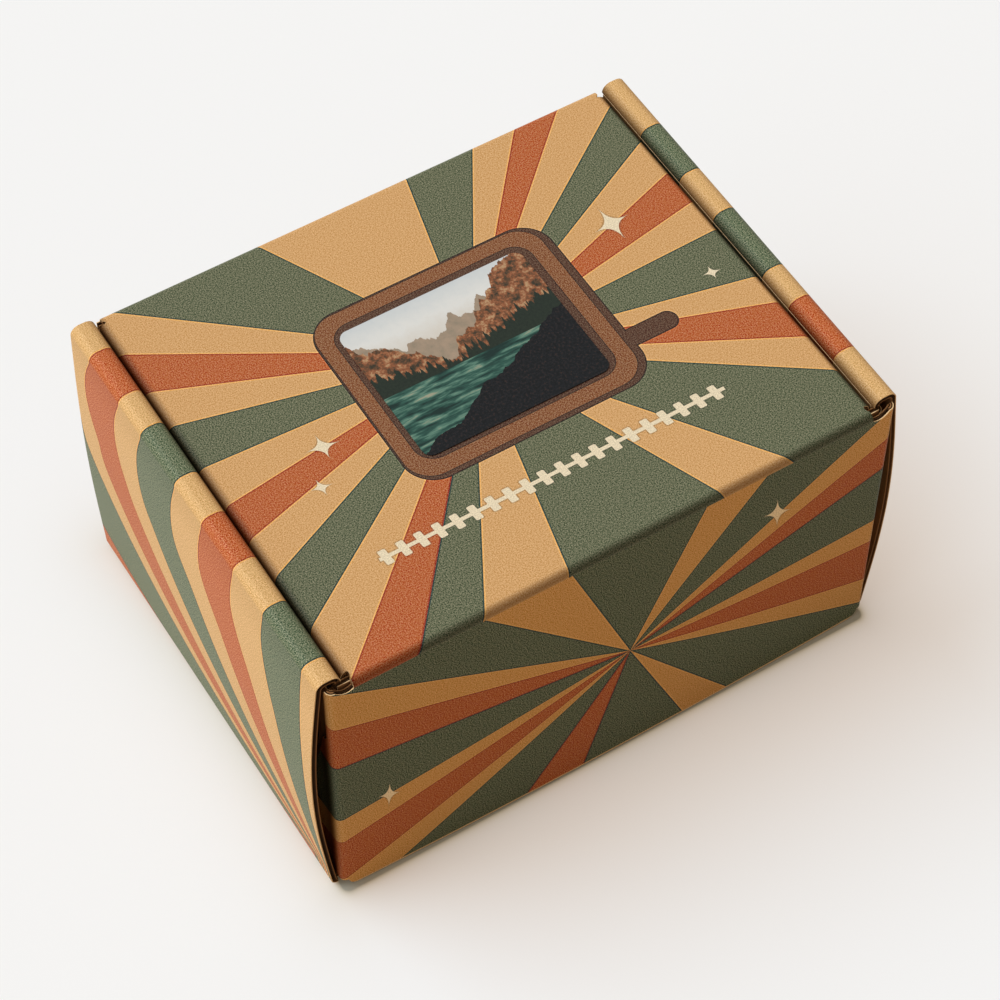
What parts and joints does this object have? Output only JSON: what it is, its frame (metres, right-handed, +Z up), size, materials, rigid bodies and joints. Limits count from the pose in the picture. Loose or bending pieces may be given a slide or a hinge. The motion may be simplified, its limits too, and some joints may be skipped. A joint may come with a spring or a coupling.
{
  "type": "memory box",
  "caption": "Corrugated keepsake box with roll-over side walls, a hinged lid, a front flap with tuck-in ears, inner side flaps and a glossy print on the lid.",
  "frame": {"origin": "on the floor, in the middle of the closed box", "axes": "+X along the front from left to right, +Y from the front to the back, +Z up; the front flap faces -Y"},
  "size_m": [0.2878, 0.2164, 0.158],
  "materials": {
    "printed_board": "kraft board printed with a tan, rust and green sunburst, satin with a fine grain",
    "kraft_board": "bare brown kraft liner, matt",
    "photo_paper": "glossy photographic paper"
  },
  "bodies": {
    "tray": {"base_panel": "printed_board", "front_wall": "printed_board", "back_wall": "printed_board", "left_outer_wall": "printed_board", "right_outer_wall": "printed_board", "left_top_roll": "printed_board", "right_top_roll": "printed_board", "left_inner_wall": "printed_board", "right_inner_wall": "printed_board", "front_left_dust_flap": "kraft_board", "front_right_dust_flap": "kraft_board", "back_left_dust_flap": "kraft_board", "back_right_dust_flap": "kraft_board"},
    "lid": {"lid_panel": "printed_board", "photo_print": "photo_paper"},
    "front_flap": {"lid_front_flap": "printed_board", "lid_front_left_ear": "printed_board", "lid_front_right_ear": "printed_board"},
    "left_side_flap": {"lid_left_side_flap": "printed_board"},
    "right_side_flap": {"lid_right_side_flap": "printed_board"}
  },
  "joints": [
    {"name": "lid_hinge", "type": "hinge", "parent": "tray", "child": "lid", "pos_m": [0, 0.10731, 0.15406], "axis": [-1, 0, 0], "range_deg": [0, 170]},
    {"name": "front_flap_hinge", "type": "hinge", "parent": "lid", "child": "front_flap", "pos_m": [0, -0.10531, 0.15406], "axis": [-1, 0, 0], "range_deg": [0, 90]},
    {"name": "left_side_flap_hinge", "type": "hinge", "parent": "lid", "child": "left_side_flap", "pos_m": [-0.12349, 0, 0.1523], "axis": [0, -1, 0], "range_deg": [0, 85]},
    {"name": "right_side_flap_hinge", "type": "hinge", "parent": "lid", "child": "right_side_flap", "pos_m": [0.12349, 0, 0.1523], "axis": [0, 1, 0], "range_deg": [0, 85]}
  ]
}
